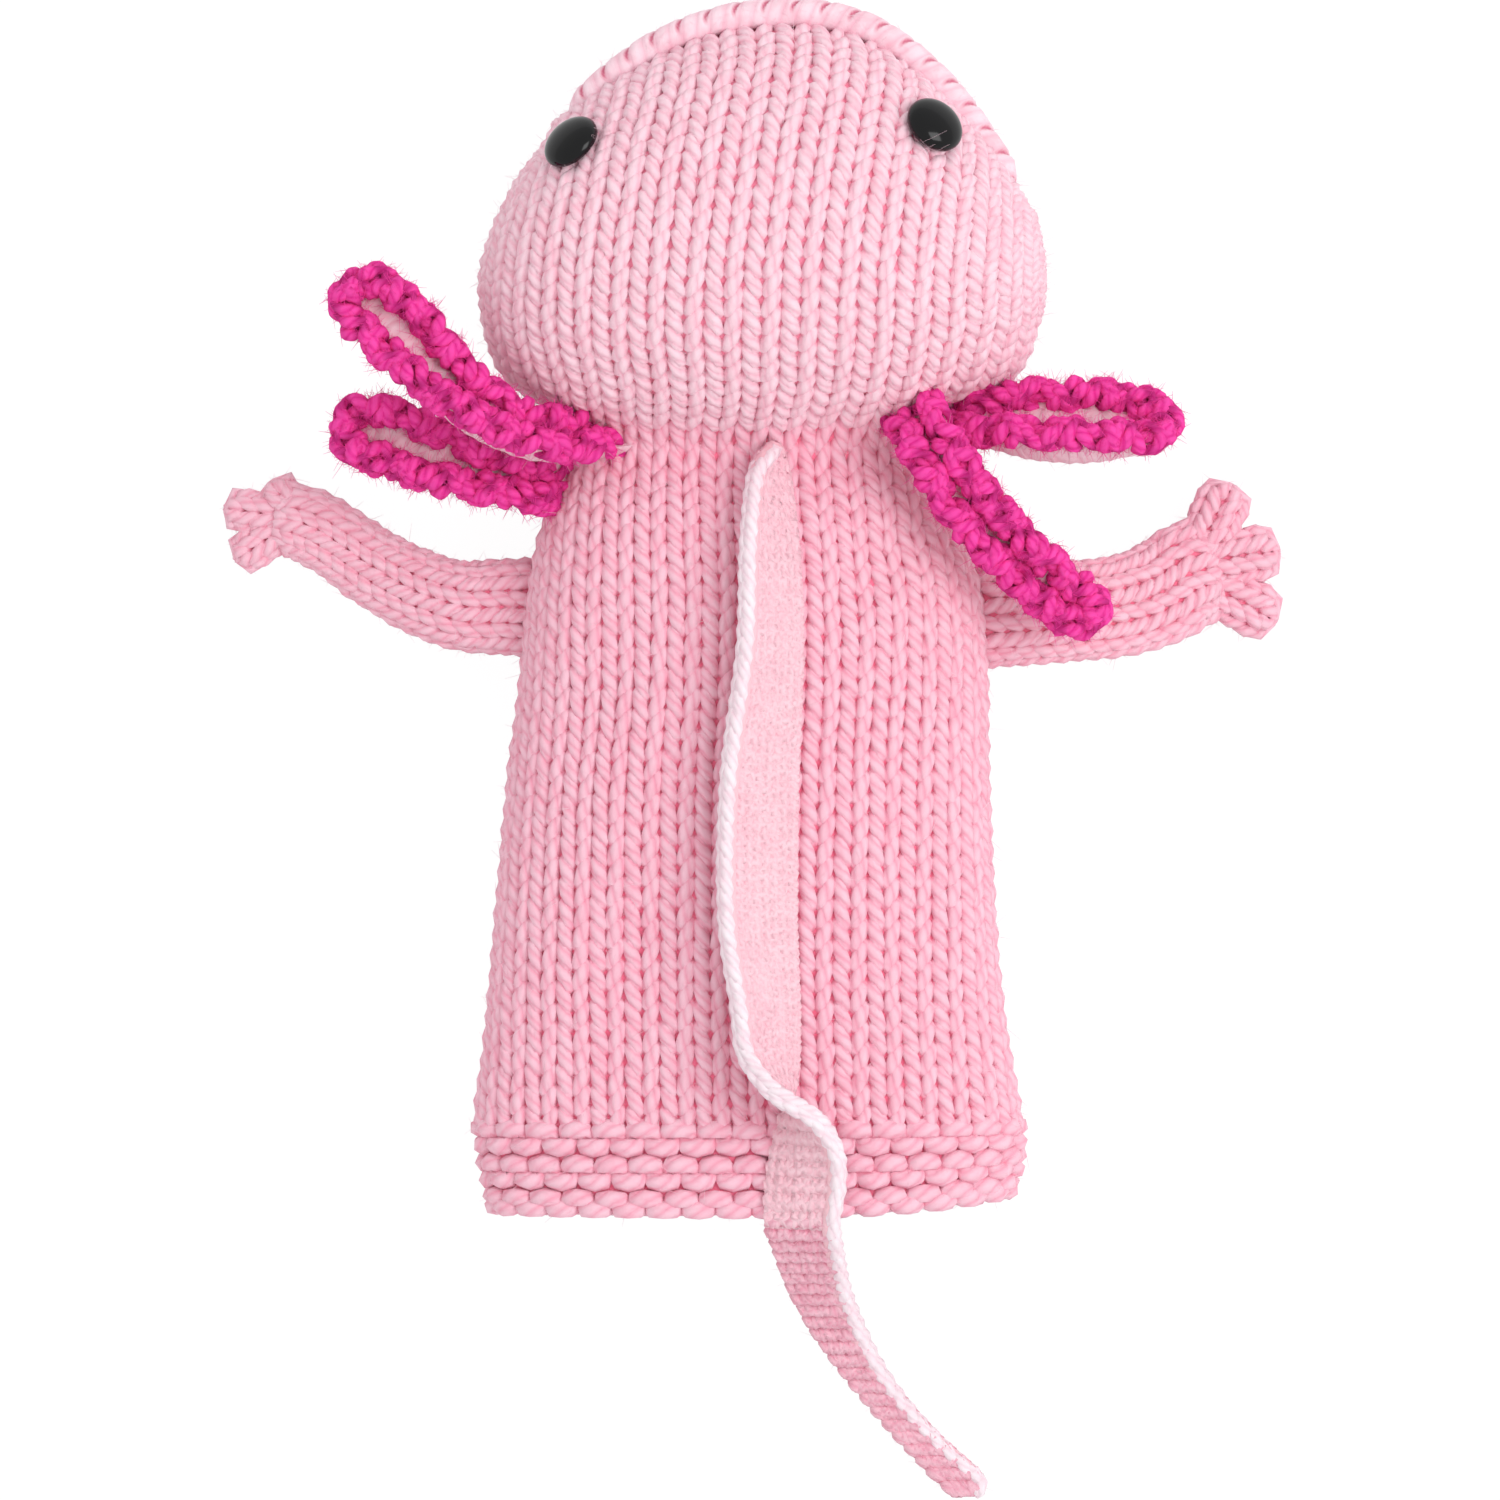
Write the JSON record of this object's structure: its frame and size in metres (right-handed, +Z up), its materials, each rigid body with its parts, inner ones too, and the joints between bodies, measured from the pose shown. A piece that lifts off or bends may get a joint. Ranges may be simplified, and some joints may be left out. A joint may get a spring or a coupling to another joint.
{
  "type": "hand puppet",
  "caption": "Soft knitted animal glove puppet with a stuffed head, arms, crocheted gills, a fin along its back and a free tail, lying on its belly.",
  "frame": {"origin": "on the surface that the puppet lies on, under the middle of the sleeve", "axes": "+Y from the tail to the head, +Z up out of the puppet's back, +X to the right as the back is seen with the head at the top"},
  "size_m": [0.191, 0.2679, 0.062],
  "materials": {
    "pink_knit": "soft brushed yarn, stocking stitch with a garter hem",
    "pale_pink_knit": "soft brushed yarn, paler pink",
    "magenta_crochet": "fuzzy crocheted yarn, deep magenta",
    "black_eye_plastic": "polished black dome",
    "washer_plastic": "plain moulded white",
    "fibre_filling": "loose off-white polyester filling"
  },
  "bodies": {
    "root": {"knitted_skin": "pink_knit", "left_arm": "pink_knit", "right_arm": "pink_knit", "crown_seam": "pale_pink_knit", "fin_and_tail": "pale_pink_knit", "left_upper_gill_leaf": "pale_pink_knit", "left_lower_gill_leaf": "pale_pink_knit", "right_upper_gill_leaf": "pale_pink_knit", "right_lower_gill_leaf": "pale_pink_knit", "left_upper_gill_edging": "magenta_crochet", "left_lower_gill_edging": "magenta_crochet", "right_upper_gill_edging": "magenta_crochet", "right_lower_gill_edging": "magenta_crochet", "left_eye": "black_eye_plastic", "right_eye": "black_eye_plastic", "left_eye_washer": "washer_plastic", "right_eye_washer": "washer_plastic", "head_stuffing": "fibre_filling"}
  },
  "joints": []
}
